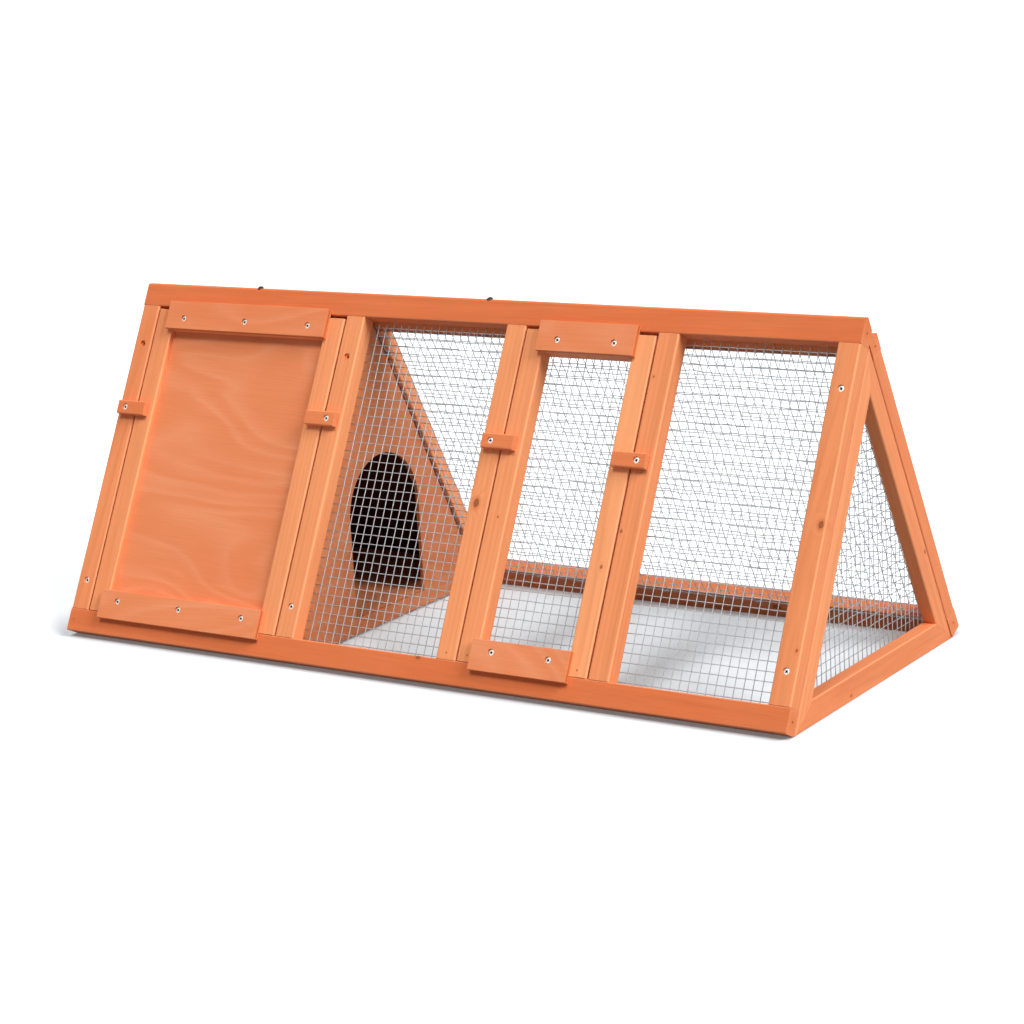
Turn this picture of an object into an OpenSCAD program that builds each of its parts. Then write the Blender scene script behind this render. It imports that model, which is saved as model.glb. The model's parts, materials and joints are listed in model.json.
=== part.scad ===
// Small animal enclosure: a timber A-frame hutch and run.
// The long sides lean together at a ridge. The left end is a closed house behind
// an arched doorway, and the rest is a wire run that stands open on the ground.
// X runs along the ridge, to the right as seen from the front. The front slope
// faces -Y, and Z is up from the ground. The origin is the middle of the footprint.

/* [Overall] */
// Length along the ridge
body_length = 1160; // [1030:10:1500]
// Depth on the ground, from front to back
base_depth = 500; // [420:10:640]
// Lean of both long sides, up from the ground
slope_angle = 62.5; // [58:0.5:66]
// Distance of the front face's top edge in front of the centre line
ridge_lead = 9; // [6:0.5:12]
// Width of the level strip along the ridge
ridge_flat = 8; // [5:0.5:11]
// Height of the front side's bevel above the top of the back side
back_drop = 5; // [2:0.5:7]

/* [Timber] */
// Thickness of the boards of the long sides and doors
board_t = 24; // [18:1:28]
// Width of the top and bottom rails
rail_w = 32.5; // [26:0.5:44]
// Width of the back side's top rail
back_top_rail_w = 25; // [22:0.5:40]
// Width of the upright stiles
stile_w = 31; // [26:1:40]
// Width of the legs of the end frames
leg_w = 28; // [24:1:40]
// Thickness of the end frames along the ridge
leg_t = 20; // [18:1:30]
// Height of the rails at the foot of the end frames
foot_rail_h = 33; // [24:1:44]
// Height of the foot rails that carry the house floor
house_rail_h = 20; // [16:1:40]
// Gap between an end frame and the wire mesh of the long sides
leg_gap = 0.3; // [0.1:0.1:2]

/* [Layout along the ridge] */
// Width of the solid house door
house_door_w = 337; // [260:1:420]
// Width of the wire bay between the house and the run door
left_bay_w = 236; // [120:1:260]
// Width of the run door
run_door_w = 199; // [150:1:230]
// Gap at each side of a door
door_side_gap = 2; // [1:0.5:4]

/* [Doors] */
// Gap between a door and the top rail, which is how far it can be pushed up
door_top_gap = 4.5; // [3:0.5:8]
// Gap between a door and the bottom rail
door_bottom_gap = 0.3; // [0.2:0.1:1]
// How far the doors stand in front of the frame's face
door_proud = 0.3; // [0.2:0.1:1]
// Width of the door stiles and door rails
door_stile_w = 31; // [24:1:40]
// Distance of a batten's ends from the door's edges
batten_inset = 25; // [10:1:28]
// Thickness of the door battens
batten_t = 9; // [5:0.5:12]
// How far the top battens reach over the top rail
top_batten_lap = 6; // [2:0.5:12]
// How far the bottom battens hang over the bottom rail
bottom_batten_lap = 10; // [5:0.5:20]
// Distance of the outer batten screws from the batten's ends
batten_screw_end = 31; // [20:1:40]

/* [Boards] */
// Thickness of the thin boards
panel_t = 5; // [3:0.5:8]
// Depth of a thin board behind the face of its frame
panel_recess = 8; // [4:0.5:9]
// Depth of the grooves that hold a thin board
groove_depth = 6; // [3:0.5:9]
// Space left around a thin board in its groove
groove_gap = 0.2; // [0.1:0.05:0.4]

/* [House] */
// Width of the doorway in the divider
doorway_w = 164; // [110:2:190]
// Height of the doorway's top above the ground
doorway_top = 246; // [200:2:270]
// Gap between the thin end boards and the wire mesh of the long sides
board_gap = 1.5; // [0.5:0.25:4]
// Height of the divider board's lower edge above the ground
divider_lift = 3; // [1:0.5:8]
// Gap around the house floor
floor_gap = 1.5; // [1:0.5:4]

/* [Turn buttons] */
// Length of a turn button
button_l = 50; // [46:1:66]
// Width of a turn button
button_w = 20; // [14:1:24]
// Thickness of a turn button
button_t = 10; // [8:0.5:16]
// Distance of the pivot from the button's outer end
button_pivot = 13.5; // [12:0.5:19]
// Distance of the pivots from the middle of their stiles, towards the door
button_shift = 4; // [2:0.5:6]
// Height of the house door's left button up the slope
house_left_button_up = 332; // [200:1:380]
// Height of the house door's right button up the slope
house_right_button_up = 339; // [200:1:380]
// Height of the run door's left button up the slope
run_left_button_up = 327; // [200:1:380]
// Height of the run door's right button up the slope
run_right_button_up = 317; // [200:1:380]
// Space between a turn button and the frame's face
button_gap = 0.6; // [0.5:0.1:1.5]

/* [Wire mesh] */
// Opening of the welded mesh, from wire to wire
mesh_opening = 12.7; // [10:0.1:16]
// Number of openings from one drawn wire to the next
mesh_step = 3; // [2:1:5]
// Thickness of the mesh
wire_t = 1.5; // [0.8:0.1:2.5]
// How far the mesh laps over the boards that carry it
mesh_lap = 8; // [5:0.5:8]
// Gap between the front nets and the joint of the two long sides
mesh_peak_gap = 0.5; // [0.3:0.1:2]

/* [Screws] */
// Diameter of the screws
screw_d = 4; // [3:0.25:5]
// Diameter of the screw heads
head_d = 8.8; // [7:0.2:11]
// Height of the domed heads of the ridge screws
head_h = 2.8; // [2:0.1:4]
// Height of the straight rim of the domed heads
head_rim = 0.9; // [0.5:0.1:1.5]
// Height of the flat heads of the other screws
flat_head_h = 1.8; // [1:0.1:2.5]
// Depth of the flat heads' tops under the boards' faces
head_sink = 1.8; // [0.5:0.1:2.4]
// Length of the cross recess in the screw heads
recess_l = 5; // [3:0.25:6]
// Width of the cross recess
recess_w = 1; // [0.6:0.1:1.4]
// Depth of the cross recess
recess_depth = 1.4; // [0.6:0.1:1.6]
// Length of the screws that hold the long sides to the end frames
frame_screw_l = 45; // [35:1:50]
// Height of the lower frame screws up the slope
lower_screw_up = 75; // [60:1:110]
// Distance of the upper frame screws down from the ridge
upper_screw_down = 91; // [80:1:120]
// Wood left behind the tips of the screws in the stiles and doors
tip_cover = 5; // [3:0.5:10]
// Length of the ridge screws
ridge_screw_l = 40; // [32:1:50]
// Distance of the first ridge screw from the left end
ridge_screw_start = 207; // [150:1:260]
// Spacing of the two ridge screws
ridge_screw_step = 394; // [300:1:600]
// Lean of the ridge screws from upright
ridge_screw_lean = 18; // [15:1:20]
// Radial space around a screw's shank
shank_gap = 0.05; // [0.02:0.01:0.1]
// Space between a turn button and its screw's head
head_gap = 0.2; // [0.1:0.05:0.5]
// Radial space around the screws' heads in their seats
seat_gap = 0.3; // [0.1:0.1:1]
// Diameter of the small holes in the rails' ends
end_hole_d = 3; // [2:0.25:4]
// Depth of the small holes in the rails' ends
end_hole_l = 14; // [8:1:20]

/* [Hidden] */

$fn = 32;
timber = [0.90, 0.55, 0.36];
plywood = [0.88, 0.57, 0.40];
wire = [0.78, 0.79, 0.80];
steel = [0.84, 0.84, 0.82];
cut = 1;

// The slope: a board's inner lower corner stands on the ground, its outer one is higher
foot_drop = board_t * cos(slope_angle);
front_slope = (base_depth / 2 - ridge_lead) / cos(slope_angle);
bevel_l = (board_t - ridge_flat * sin(slope_angle)) / sin(2 * slope_angle);
front_bevel_up = front_slope + ridge_flat * cos(slope_angle) + bevel_l * cos(2 * slope_angle);
back_top_z = slope_z(front_bevel_up, -board_t) - back_drop;
back_slope = (back_top_z - foot_drop) / sin(slope_angle);
inner_half = base_depth / 2 - board_t * sin(slope_angle);
inner_peak = inner_half * tan(slope_angle);
inner_slope = inner_half / cos(slope_angle);

// Places along the ridge, from the left end
house_door_x = stile_w + door_side_gap;
house_stile_x = house_door_x + house_door_w + door_side_gap;
left_bay_x = house_stile_x + stile_w;
middle_stile_x = left_bay_x + left_bay_w;
run_door_x = middle_stile_x + stile_w + door_side_gap;
bay_stile_x = run_door_x + run_door_w + door_side_gap;
right_bay_x = bay_stile_x + stile_w;
right_stile_x = body_length - stile_w;
divider_x = house_stile_x;
frame_screw_in = min(stile_w / 2, leg_t - screw_d);
frame_screw_x = [frame_screw_in, divider_x + frame_screw_in, body_length - frame_screw_in];
ridge_screw_x = [for (k = [0:1]) ridge_screw_start + k * ridge_screw_step];

// Places up the slope
stile_low = rail_w;
stile_high = front_slope - rail_w;
front_net_h = min(stile_high, inner_slope - mesh_peak_gap - mesh_lap) - stile_low;
back_high = back_slope - back_top_rail_w;
upper_screw_up = front_slope - upper_screw_down;
door_low = rail_w + door_bottom_gap;
door_high = stile_high - door_top_gap;
door_rail_w = door_stile_w;
door_top_rail_up = door_high - door_rail_w;
door_panel_up = door_low + door_rail_w;
door_panel_h = door_top_rail_up - door_panel_up;
top_batten_h = stile_high + top_batten_lap - door_top_rail_up;
bottom_batten_up = rail_w - bottom_batten_lap;
bottom_batten_h = door_panel_up - bottom_batten_up;
batten_screw_up = [door_top_rail_up + door_rail_w / 2, door_low + door_rail_w / 2];
batten_screw_l = batten_t + board_t - tip_cover;
button_up = [house_left_button_up, house_right_button_up, run_left_button_up, run_right_button_up];
pivot_head_out = button_gap + button_t + head_gap;
pivot_screw_l = pivot_head_out + board_t - tip_cover;

// The end frames: a triangle inside the long sides
frame_half = inner_half - (wire_t + leg_gap) / sin(slope_angle);
frame_peak = frame_half * tan(slope_angle);
opening_half = half_inside(foot_rail_h);
opening_peak = frame_peak - leg_w / cos(slope_angle);
right_frame_x = body_length - leg_t;
floor_top = house_rail_h + panel_t;
floor_half = inner_half - floor_top / tan(slope_angle) - floor_gap;
floor_tongue_half = half_inside(floor_top) - floor_gap;
mesh_pitch = mesh_opening * mesh_step;
seat_depth = head_sink + flat_head_h;
crown_h = head_h - head_rim;
crown_r = (head_d * head_d / 4 + crown_h * crown_h) / (2 * crown_h);

// Half the width between the legs at a height
function half_inside(z) = frame_half - z / tan(slope_angle) - leg_w / sin(slope_angle);
function slope_y(up, out) = -base_depth / 2 + up * cos(slope_angle) - out * sin(slope_angle);
function slope_z(up, out) = foot_drop + up * sin(slope_angle) + out * cos(slope_angle);
function slope_up(y, z) = (y + base_depth / 2) * cos(slope_angle) + (z - foot_drop) * sin(slope_angle);
function slope_out(y, z) = -(y + base_depth / 2) * sin(slope_angle) + (z - foot_drop) * cos(slope_angle);

// Local axes on the front slope: x from the left end, y up the slope, z outwards
module on_front() {
    translate([-body_length / 2, -base_depth / 2, foot_drop])
        rotate([slope_angle, 0, 0])
            children();
}

// The same local axes on the back slope
module on_back() {
    mirror([0, 1, 0])
        on_front()
            children();
}

// A flat outline in depth and height, made thick along the ridge
module along_ridge(x, length) {
    translate([x - body_length / 2, 0, 0])
        rotate([90, 0, 90])
            linear_extrude(length)
                children();
}

// The same for an outline given up the slope and outwards, inside on_front or on_back
module along_slope(x, length) {
    translate([x, 0, 0])
        rotate([90, 0, 90])
            linear_extrude(length)
                children();
}

module board(x, up, w, h, proud = 0) {
    translate([x, up, proud - board_t])
        cube([w, h, board_t]);
}

// A groove along one edge of a board, cut by the space of the thin board in it
module groove_space(x, up, w, h, proud = 0) {
    translate([x - groove_depth, up - groove_depth, proud - panel_recess - panel_t - groove_gap])
        cube([w + 2 * groove_depth, h + 2 * groove_depth, panel_t + 2 * groove_gap]);
}

module grooved_panel(x, up, w, h, proud = 0) {
    reach = groove_depth - groove_gap;
    translate([x - reach, up - reach, proud - panel_recess - panel_t])
        cube([w + 2 * reach, h + 2 * reach, panel_t]);
}

// The cross recess of a screw head whose top lies at a height
module recess(top) {
    for (turn = [0, 90])
        rotate([0, 0, turn])
            translate([-recess_l / 2, -recess_w / 2, top - recess_depth])
                cube([recess_l, recess_w, head_h]);
}

// A screw with a domed head standing at the origin, its shank pointing down
module domed_screw(length) {
    difference() {
        intersection() {
            cylinder(d = head_d, h = head_h);
            translate([0, 0, head_h - crown_r])
                sphere(r = crown_r);
        }
        recess(head_h);
    }
    translate([0, 0, -length])
        cylinder(d = screw_d, h = length);
}

// A screw whose flat head lies sunk under the face at the origin
module sunk_screw(length) {
    difference() {
        translate([0, 0, -seat_depth])
            cylinder(d = head_d, h = flat_head_h);
        recess(-head_sink);
    }
    translate([0, 0, -length])
        cylinder(d = screw_d, h = length - seat_depth);
}

module screw_hole(length) {
    translate([0, 0, -length - cut])
        cylinder(d = screw_d + 2 * shank_gap, h = length + 2 * cut);
}

// The hole of a sunk screw, with the seat for its head
module sunk_hole(length) {
    screw_hole(length);
    translate([0, 0, -seat_depth])
        cylinder(d = head_d + 2 * seat_gap, h = 2 * seat_depth);
}

// Wires of a flat net inside an outline, as a sheet with square openings
module net(x0, x1, y0, y1) {
    columns = floor((x1 - x0) / mesh_pitch);
    rows = floor((y1 - y0) / mesh_pitch);
    side = ((x1 - x0) - columns * mesh_pitch) / 2;
    foot = ((y1 - y0) - rows * mesh_pitch) / 2;
    linear_extrude(wire_t)
        intersection() {
            children();
            union() {
                for (k = [0:columns])
                    translate([x0 + side + k * mesh_pitch - wire_t / 2, y0])
                        square([wire_t, y1 - y0]);
                for (k = [0:rows])
                    translate([x0, y0 + foot + k * mesh_pitch - wire_t / 2])
                        square([x1 - x0, wire_t]);
            }
        }
}

// A rectangular net on the inner side of an opening between boards
module bay_net(x, up, w, h, proud = 0) {
    x0 = x - mesh_lap;
    x1 = x + w + mesh_lap;
    y0 = up - mesh_lap;
    y1 = up + h + mesh_lap;
    translate([0, 0, proud - board_t - wire_t])
        net(x0, x1, y0, y1)
            translate([x0, y0])
                square([x1 - x0, y1 - y0]);
}

// Holes of the screws that hold a long side to the end frames
module frame_screw_holes() {
    for (x = frame_screw_x)
        for (up = [lower_screw_up, upper_screw_up])
            translate([x, up, 0])
                sunk_hole(frame_screw_l);
}

module pivot_places() {
    x = [
        stile_w / 2 + button_shift, house_stile_x + stile_w / 2 - button_shift,
        middle_stile_x + stile_w / 2 + button_shift, bay_stile_x + stile_w / 2 - button_shift
    ];
    for (k = [0:3])
        translate([x[k], button_up[k], 0])
            children();
}

module pivot_holes() {
    pivot_places()
        screw_hole(pivot_screw_l - pivot_head_out);
}

module ridge_places() {
    y = -ridge_lead + ridge_flat / 2;
    z = slope_z(front_slope, 0);
    for (x = ridge_screw_x)
        translate([x - body_length / 2, y, z])
            rotate([ridge_screw_lean, 0, 0])
                children();
}

// The ridge screws' holes, with the seats that their leaning heads sink into
module ridge_holes() {
    ridge_places() {
        screw_hole(ridge_screw_l);
        cylinder(d = head_d + 2 * seat_gap, h = 2 * head_h);
    }
}

// Small drilled holes in both ends of a rail, in the local axes of a slope
module rail_end_holes(up) {
    for (side = [0, 1])
        translate([side * body_length, up, -board_t / 2])
            rotate([0, 90, 0])
                cylinder(d = end_hole_d, h = 2 * end_hole_l, center = true);
}

module front_top_rail() {
    color(timber)
        difference() {
            on_front()
                difference() {
                    along_slope(0, body_length)
                        polygon([
                            [stile_high, 0], [front_slope, 0],
                            [front_slope + ridge_flat * cos(slope_angle), -ridge_flat * sin(slope_angle)],
                            [front_bevel_up, -board_t], [stile_high, -board_t]
                        ]);
                    rail_end_holes(stile_high + rail_w / 2);
                }
            ridge_holes();
        }
}

module front_bottom_rail() {
    color(timber)
        on_front()
            difference() {
                board(0, 0, body_length, rail_w);
                rail_end_holes(rail_w / 2);
            }
}

module front_stile(x) {
    color(timber)
        on_front()
            difference() {
                board(x, stile_low, stile_w, stile_high - stile_low);
                frame_screw_holes();
                pivot_holes();
            }
}

module front_left_stile() {
    front_stile(0);
}

module front_house_stile() {
    front_stile(house_stile_x);
}

module front_middle_stile() {
    front_stile(middle_stile_x);
}

module front_bay_stile() {
    front_stile(bay_stile_x);
}

module front_right_stile() {
    front_stile(right_stile_x);
}

module front_left_mesh() {
    color(wire)
        on_front()
            bay_net(left_bay_x, stile_low, left_bay_w, front_net_h);
}

module front_right_mesh() {
    color(wire)
        on_front()
            bay_net(right_bay_x, stile_low, right_stile_x - right_bay_x, front_net_h);
}

// Two of the six places at the front are drilled and left empty
module front_panel_screws() {
    color(steel)
        on_front() {
            for (x = frame_screw_x)
                translate([x, lower_screw_up, 0])
                    sunk_screw(frame_screw_l);
            translate([frame_screw_x[2], upper_screw_up, 0])
                sunk_screw(frame_screw_l);
        }
}

module back_top_rail() {
    top_y = inner_half - back_top_z / tan(slope_angle);
    color(timber)
        difference() {
            on_back()
                difference() {
                    along_slope(0, body_length)
                        polygon([
                            [back_high, 0], [back_slope, 0],
                            [slope_up(top_y, back_top_z), slope_out(top_y, back_top_z)],
                            [slope_up(0, inner_peak), -board_t], [back_high, -board_t]
                        ]);
                    rail_end_holes(back_high + back_top_rail_w / 2);
                    back_board_groove();
                }
            ridge_holes();
        }
}

module back_board_groove() {
    groove_space(stile_w, stile_low, house_stile_x - stile_w, back_high - stile_low);
}

module back_bottom_rail() {
    color(timber)
        on_back()
            difference() {
                board(0, 0, body_length, rail_w);
                rail_end_holes(rail_w / 2);
                back_board_groove();
            }
}

module back_stile(x) {
    color(timber)
        on_back()
            difference() {
                board(x, stile_low, stile_w, back_high - stile_low);
                frame_screw_holes();
                back_board_groove();
            }
}

module back_left_stile() {
    back_stile(0);
}

module back_house_stile() {
    back_stile(house_stile_x);
}

module back_right_stile() {
    back_stile(right_stile_x);
}

module back_house_board() {
    color(plywood)
        on_back()
            grooved_panel(stile_w, stile_low, house_stile_x - stile_w, back_high - stile_low);
}

module back_mesh() {
    color(wire)
        on_back()
            bay_net(left_bay_x, stile_low, right_stile_x - left_bay_x, back_high - stile_low);
}

module back_panel_screws() {
    color(steel)
        on_back()
            for (x = frame_screw_x)
                for (up = [lower_screw_up, upper_screw_up])
                    translate([x, up, 0])
                        sunk_screw(frame_screw_l);
}

module ridge_screws() {
    color(steel)
        ridge_places()
            domed_screw(ridge_screw_l);
}

module front_leg(x, rail_h) {
    color(timber)
        difference() {
            along_ridge(x, leg_t)
                polygon([
                    [-frame_half, 0], [0, frame_peak], [0, opening_peak], [-half_inside(rail_h), rail_h]
                ]);
            on_front()
                frame_screw_holes();
        }
}

module back_leg(x, rail_h) {
    mirror([0, 1, 0])
        front_leg(x, rail_h);
}

module foot_rail(x, rail_h) {
    color(timber)
        along_ridge(x, leg_t)
            polygon([
                [-frame_half, 0], [frame_half, 0],
                [half_inside(rail_h), rail_h], [-half_inside(rail_h), rail_h]
            ]);
}

module right_end_front_leg() {
    front_leg(right_frame_x, foot_rail_h);
}

module right_end_back_leg() {
    back_leg(right_frame_x, foot_rail_h);
}

module right_end_foot_rail() {
    foot_rail(right_frame_x, foot_rail_h);
}

// The opening of an end frame, grown by the given lap on all three sides
module opening_outline(lap) {
    half = opening_half + lap / sin(slope_angle) + lap / tan(slope_angle);
    polygon([
        [-half, foot_rail_h - lap], [half, foot_rail_h - lap],
        [0, foot_rail_h - lap + half * tan(slope_angle)]
    ]);
}

// The end net is edged with a wire all round, behind the legs
module right_end_mesh() {
    half = opening_half + 3 * mesh_lap;
    color(wire)
        translate([right_frame_x - wire_t - body_length / 2, 0, 0])
            rotate([90, 0, 90]) {
                net(-half, half, foot_rail_h - mesh_lap, opening_peak + 2 * mesh_lap)
                    opening_outline(mesh_lap);
                linear_extrude(wire_t)
                    difference() {
                        opening_outline(mesh_lap);
                        opening_outline(mesh_lap - wire_t);
                    }
            }
}

module left_end_front_leg() {
    front_leg(0, house_rail_h);
}

module left_end_back_leg() {
    back_leg(0, house_rail_h);
}

module left_end_foot_rail() {
    foot_rail(0, house_rail_h);
}

module left_end_board() {
    color(plywood)
        along_ridge(leg_t, panel_t)
            inner_triangle(floor_top);
}

// A triangle that just clears the long sides, from the given height up
module inner_triangle(low) {
    half = inner_half - (wire_t + board_gap) / sin(slope_angle);
    low_half = half - low / tan(slope_angle);
    polygon([[-low_half, low], [low_half, low], [0, half * tan(slope_angle)]]);
}

module divider_front_leg() {
    front_leg(divider_x, house_rail_h);
}

module divider_back_leg() {
    back_leg(divider_x, house_rail_h);
}

module divider_foot_rail() {
    foot_rail(divider_x, house_rail_h);
}

module divider_board() {
    color(plywood)
        along_ridge(divider_x + leg_t, panel_t)
            difference() {
                inner_triangle(divider_lift);
                translate([0, doorway_top - doorway_w / 2])
                    circle(d = doorway_w, $fn = 64);
                translate([-doorway_w / 2, floor_top])
                    square([doorway_w, doorway_top - doorway_w / 2 - floor_top]);
            }
}

// The floor lies on the foot rails, with a tongue between the legs at each end
module house_floor() {
    x0 = floor_gap;
    x1 = divider_x + leg_t - floor_gap;
    wide_x0 = leg_t + floor_gap;
    wide_x1 = divider_x - floor_gap;
    color(plywood)
        translate([-body_length / 2, 0, house_rail_h])
            linear_extrude(panel_t) {
                translate([x0, -floor_tongue_half])
                    square([x1 - x0, 2 * floor_tongue_half]);
                translate([wide_x0, -floor_half])
                    square([wide_x1 - wide_x0, 2 * floor_half]);
            }
}

// The groove around a door's panel, in the local axes of the front slope
module door_groove(x, w) {
    groove_space(x + door_stile_w, door_panel_up, w - 2 * door_stile_w, door_panel_h, door_proud);
}

module house_door_stile(x) {
    color(timber)
        on_front()
            difference() {
                board(x, door_low, door_stile_w, door_high - door_low, door_proud);
                door_groove(house_door_x, house_door_w);
            }
}

module run_door_stile(x) {
    color(timber)
        on_front()
            board(x, door_low, door_stile_w, door_high - door_low, door_proud);
}

// A door's screws lie on the middle lines of its hidden rails
module batten_screw_places(x, w, count) {
    x0 = x + batten_inset + batten_screw_end;
    x1 = x + w - batten_inset - batten_screw_end;
    for (k = [0:count - 1])
        for (up = batten_screw_up)
            translate([x0 + k * (x1 - x0) / (count - 1), up, door_proud + batten_t])
                children();
}

module house_screw_places() {
    batten_screw_places(house_door_x, house_door_w, 3)
        children();
}

module run_screw_places() {
    batten_screw_places(run_door_x, run_door_w, 2)
        children();
}

module house_door_rail(up) {
    color(timber)
        on_front()
            difference() {
                board(house_door_x + door_stile_w, up, house_door_w - 2 * door_stile_w,
                    door_rail_w, door_proud);
                door_groove(house_door_x, house_door_w);
                house_screw_places()
                    screw_hole(batten_screw_l);
            }
}

module run_door_rail(up) {
    color(timber)
        on_front()
            difference() {
                board(run_door_x + door_stile_w, up, run_door_w - 2 * door_stile_w,
                    door_rail_w, door_proud);
                run_screw_places()
                    screw_hole(batten_screw_l);
            }
}

module batten(x, w, up, h) {
    translate([x + batten_inset, up, door_proud])
        cube([w - 2 * batten_inset, h, batten_t]);
}

module house_batten(up, h) {
    color(plywood)
        on_front()
            difference() {
                batten(house_door_x, house_door_w, up, h);
                house_screw_places()
                    sunk_hole(batten_screw_l);
            }
}

module run_batten(up, h) {
    color(plywood)
        on_front()
            difference() {
                batten(run_door_x, run_door_w, up, h);
                run_screw_places()
                    sunk_hole(batten_screw_l);
            }
}

module house_door_left_stile() {
    house_door_stile(house_door_x);
}

module house_door_right_stile() {
    house_door_stile(house_door_x + house_door_w - door_stile_w);
}

module house_door_top_rail() {
    house_door_rail(door_top_rail_up);
}

module house_door_bottom_rail() {
    house_door_rail(door_low);
}

module house_door_panel() {
    color(plywood)
        on_front()
            grooved_panel(house_door_x + door_stile_w, door_panel_up,
                house_door_w - 2 * door_stile_w, door_panel_h, door_proud);
}

module house_door_top_batten() {
    house_batten(door_top_rail_up, top_batten_h);
}

module house_door_bottom_batten() {
    house_batten(bottom_batten_up, bottom_batten_h);
}

module house_door_screws() {
    color(steel)
        on_front()
            house_screw_places()
                sunk_screw(batten_screw_l);
}

module run_door_left_stile() {
    run_door_stile(run_door_x);
}

module run_door_right_stile() {
    run_door_stile(run_door_x + run_door_w - door_stile_w);
}

module run_door_top_rail() {
    run_door_rail(door_top_rail_up);
}

module run_door_bottom_rail() {
    run_door_rail(door_low);
}

module run_door_mesh() {
    color(wire)
        on_front()
            bay_net(run_door_x + door_stile_w, door_panel_up,
                run_door_w - 2 * door_stile_w, door_panel_h, door_proud);
}

module run_door_top_batten() {
    run_batten(door_top_rail_up, top_batten_h);
}

module run_door_bottom_batten() {
    run_batten(bottom_batten_up, bottom_batten_h);
}

module run_door_screws() {
    color(steel)
        on_front()
            run_screw_places()
                sunk_screw(batten_screw_l);
}

// A turn button in the closed place: its arm points at the door, side 1 to the right
module button(place, stile_x, side) {
    x = stile_x + stile_w / 2 + side * button_shift;
    x0 = side > 0 ? x - button_pivot : x + button_pivot - button_l;
    color(timber)
        on_front()
            difference() {
                translate([x0, button_up[place] - button_w / 2, button_gap])
                    cube([button_l, button_w, button_t]);
                translate([x, button_up[place], button_gap + button_t])
                    sunk_hole(button_t);
            }
}

module house_left_button() {
    button(0, 0, 1);
}

module house_right_button() {
    button(1, house_stile_x, -1);
}

module run_left_button() {
    button(2, middle_stile_x, 1);
}

module run_right_button() {
    button(3, bay_stile_x, -1);
}

module pivot_screws() {
    color(steel)
        on_front()
            pivot_places()
                translate([0, 0, pivot_head_out])
                    sunk_screw(pivot_screw_l);
}

front_top_rail();
front_bottom_rail();
front_left_stile();
front_house_stile();
front_middle_stile();
front_bay_stile();
front_right_stile();
front_left_mesh();
front_right_mesh();
front_panel_screws();
back_top_rail();
back_bottom_rail();
back_left_stile();
back_house_stile();
back_right_stile();
back_house_board();
back_mesh();
back_panel_screws();
ridge_screws();
right_end_front_leg();
right_end_back_leg();
right_end_foot_rail();
right_end_mesh();
left_end_front_leg();
left_end_back_leg();
left_end_foot_rail();
left_end_board();
divider_front_leg();
divider_back_leg();
divider_foot_rail();
divider_board();
house_floor();
house_door_left_stile();
house_door_right_stile();
house_door_top_rail();
house_door_bottom_rail();
house_door_panel();
house_door_top_batten();
house_door_bottom_batten();
house_door_screws();
run_door_left_stile();
run_door_right_stile();
run_door_top_rail();
run_door_bottom_rail();
run_door_mesh();
run_door_top_batten();
run_door_bottom_batten();
run_door_screws();
house_left_button();
house_right_button();
run_left_button();
run_right_button();
pivot_screws();
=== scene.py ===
import json
import math
import random

import bpy
from mathutils import Matrix, Vector


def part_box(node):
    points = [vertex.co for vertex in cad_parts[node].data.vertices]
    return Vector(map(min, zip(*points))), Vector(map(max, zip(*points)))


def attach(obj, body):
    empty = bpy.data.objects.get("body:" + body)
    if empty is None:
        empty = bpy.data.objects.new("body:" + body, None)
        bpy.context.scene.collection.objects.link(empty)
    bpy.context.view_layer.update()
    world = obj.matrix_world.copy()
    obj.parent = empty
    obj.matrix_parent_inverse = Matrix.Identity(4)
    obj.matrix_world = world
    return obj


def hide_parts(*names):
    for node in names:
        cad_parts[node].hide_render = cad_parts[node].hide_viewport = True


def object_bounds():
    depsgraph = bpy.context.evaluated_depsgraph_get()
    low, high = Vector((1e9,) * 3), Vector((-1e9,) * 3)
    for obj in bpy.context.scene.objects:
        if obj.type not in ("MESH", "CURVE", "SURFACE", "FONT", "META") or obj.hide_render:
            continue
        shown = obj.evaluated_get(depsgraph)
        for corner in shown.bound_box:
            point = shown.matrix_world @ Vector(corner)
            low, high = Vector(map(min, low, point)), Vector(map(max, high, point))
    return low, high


# A triangular timber hutch and run. X runs along the ridge, the front slope faces -Y.
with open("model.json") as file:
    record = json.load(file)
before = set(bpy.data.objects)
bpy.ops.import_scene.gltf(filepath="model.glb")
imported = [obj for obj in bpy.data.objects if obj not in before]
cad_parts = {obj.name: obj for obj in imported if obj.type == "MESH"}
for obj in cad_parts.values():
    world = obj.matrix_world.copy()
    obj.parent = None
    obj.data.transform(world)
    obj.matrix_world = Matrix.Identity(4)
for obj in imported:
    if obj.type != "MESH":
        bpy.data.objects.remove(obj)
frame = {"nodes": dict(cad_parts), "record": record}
cad_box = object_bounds()

mm = 0.001
cad = frame["nodes"]
body_of = {
    node: body
    for body, nodes in frame["record"]["behaviour"]["bodies"].items()
    for node in nodes
}

slope_angle = math.radians(62.5)

# Boards: how round their long arrises are, and those at their ends. What is thinner than the
# limit is plywood
stile_round = 2.6 * mm
rail_round = 1.8 * mm
button_round = 1.6 * mm
batten_round = 0.7 * mm
sheet_round = 0.4 * mm
end_round = 0.35 * mm
sheet_limit = 9.5 * mm
groove_gap = 0.2 * mm
doorway_w = 164 * mm
doorway_top = 246 * mm

# Nets: the wires sink a little into each other where they are welded
mesh_pitch = 12.7 * mm
wire_d = 1.2 * mm
weld_offset = 0.42 * wire_d
front_slack = 0.9 * mm
back_slack = 6 * mm
end_slack = 2.5 * mm
wave_l = 42 * mm
kink_l = 13 * mm
kink_share = 0.3
flat_rim = 9 * mm
free_rim = 37 * mm
staple_step = 75 * mm
staple_w = 10 * mm
staple_wire_w = 1.2 * mm
staple_wire_t = 0.7 * mm
staple_leg_l = 4 * mm
staple_inset = 4 * mm
staple_round = 0.2 * mm

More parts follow.
